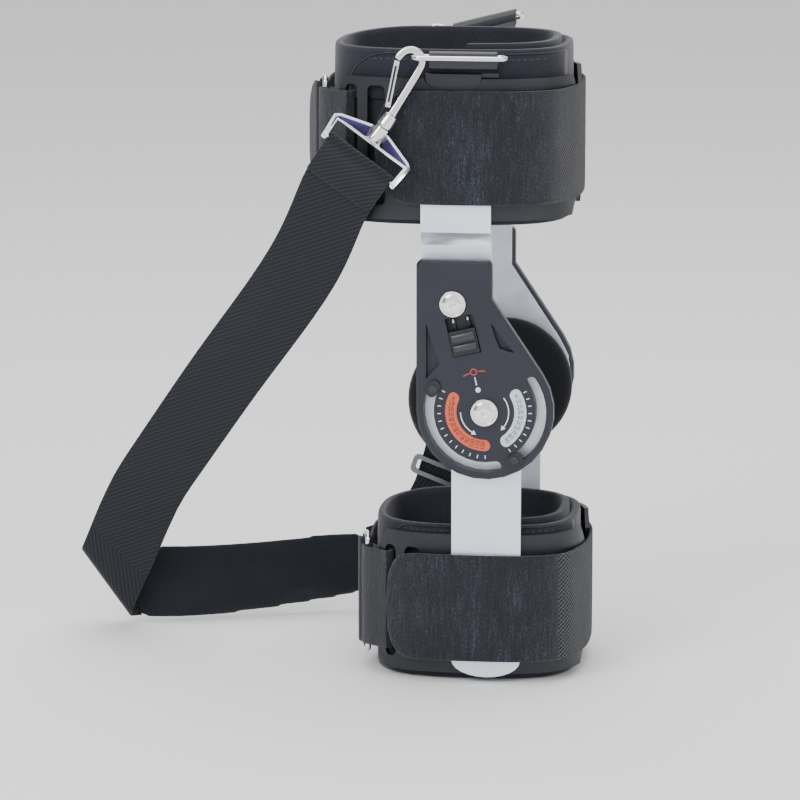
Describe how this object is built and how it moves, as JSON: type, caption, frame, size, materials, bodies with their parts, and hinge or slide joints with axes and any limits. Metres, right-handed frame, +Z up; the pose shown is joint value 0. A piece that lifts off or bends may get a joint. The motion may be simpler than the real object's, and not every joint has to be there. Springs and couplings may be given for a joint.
{
  "type": "hinged knee brace",
  "caption": "Child's hinged knee brace with padded thigh and calf cuffs, dial hinges with stops, and a clip-on shoulder strap.",
  "frame": {"origin": "centre of the foot of the whole brace's box, on the surface that the calf cuff stands on", "axes": "+Z up along the limb, +X towards the back of the knee, -Y to the lateral side"},
  "size_m": [0.2762, 0.1708, 0.3314],
  "materials": {
    "foam": "matt laminated foam",
    "loop_cloth": "brushed loop cloth",
    "webbing": "twill woven webbing",
    "padded_cloth": "smooth knitted cover",
    "shell": "satin moulded",
    "cover": "satin moulded",
    "bar": "satin anodised",
    "nickel": "bright plated",
    "screw": "bright plated",
    "dark_plastic": "moulded",
    "vinyl": "smooth sheet"
  },
  "bodies": {
    "thigh": {"thigh_liner": "foam", "lateral_condyle_pad": "foam", "medial_condyle_pad": "foam", "thigh_strap": "loop_cloth", "thigh_strap_stub": "loop_cloth", "shoulder_webbing_front": "webbing", "shoulder_webbing_rear": "webbing", "shoulder_padded_section": "padded_cloth", "thigh_frame_lateral": "shell", "thigh_frame_medial": "shell", "lateral_hinge_cover": "cover", "medial_hinge_cover": "cover", "lateral_upper_bar": "bar", "medial_upper_bar": "bar", "thigh_strap_ring": "nickel", "shoulder_strap_adjuster": "nickel", "lateral_wire_loop": "nickel", "lateral_hook_body": "nickel", "lateral_hook_bracket": "nickel", "medial_wire_loop": "nickel", "medial_hook_body": "nickel", "medial_hook_bracket": "nickel", "lateral_pivot_screw": "screw", "lateral_upper_screw": "screw", "medial_pivot_screw": "screw", "medial_upper_screw": "screw", "lateral_loop_tab": "vinyl", "medial_loop_tab": "vinyl"},
    "calf": {"calf_liner": "foam", "calf_frame_lateral": "shell", "calf_frame_medial": "shell", "calf_strap": "loop_cloth", "calf_strap_stub": "loop_cloth", "calf_strap_ring": "nickel", "lateral_lower_bar": "bar", "medial_lower_bar": "bar"},
    "lateral_lock": {"lateral_lock_slider": "dark_plastic"},
    "lateral_flexion": {"lateral_flexion_stop": "dark_plastic"},
    "lateral_extension": {"lateral_extension_stop": "dark_plastic"},
    "lateral_gate": {"lateral_hook_gate": "nickel"},
    "medial_lock": {"medial_lock_slider": "dark_plastic"},
    "medial_flexion": {"medial_flexion_stop": "dark_plastic"},
    "medial_extension": {"medial_extension_stop": "dark_plastic"},
    "medial_gate": {"medial_hook_gate": "nickel"}
  },
  "joints": [
    {"name": "knee_hinge", "type": "hinge", "parent": "thigh", "child": "calf", "pos_m": [0.08907, -0.0175, 0.1415], "axis": [0, -1, 0], "range_deg": [0, 120]},
    {"name": "lateral_lock_slide", "type": "slide", "parent": "thigh", "child": "lateral_lock", "axis": [-0.225, 0, 0.9744], "range_m": [0, 0.0045]},
    {"name": "lateral_flexion_stop_turn", "type": "hinge", "parent": "thigh", "child": "lateral_flexion", "pos_m": [0.08907, -0.0785, 0.1415], "axis": [0, -1, 0], "range_deg": [0, 120]},
    {"name": "lateral_extension_stop_turn", "type": "hinge", "parent": "thigh", "child": "lateral_extension", "pos_m": [0.08907, -0.0785, 0.1415], "axis": [0, -1, 0], "range_deg": [0, 88]},
    {"name": "medial_lock_slide", "type": "slide", "parent": "thigh", "child": "medial_lock", "axis": [-0.225, 0, 0.9744], "range_m": [0, 0.0045]},
    {"name": "medial_flexion_stop_turn", "type": "hinge", "parent": "thigh", "child": "medial_flexion", "pos_m": [0.08907, 0.0435, 0.1415], "axis": [0, -1, 0], "range_deg": [0, 120]},
    {"name": "medial_extension_stop_turn", "type": "hinge", "parent": "thigh", "child": "medial_extension", "pos_m": [0.08907, 0.0435, 0.1415], "axis": [0, -1, 0], "range_deg": [0, 88]},
    {"name": "lateral_gate_turn", "type": "hinge", "parent": "thigh", "child": "lateral_gate", "pos_m": [0.04059, -0.07983, 0.29378], "axis": [-0.048, 0.9967, -0.066], "range_deg": [0, 20], "stiffness_Nm_per_rad": 0.01, "springref_deg": -11.46},
    {"name": "medial_gate_turn", "type": "hinge", "parent": "thigh", "child": "medial_gate", "pos_m": [0.05396, 0.04636, 0.29056], "axis": [0.004, 0.9891, 0.147], "range_deg": [0, 20], "stiffness_Nm_per_rad": 0.01, "springref_deg": -11.46}
  ]
}
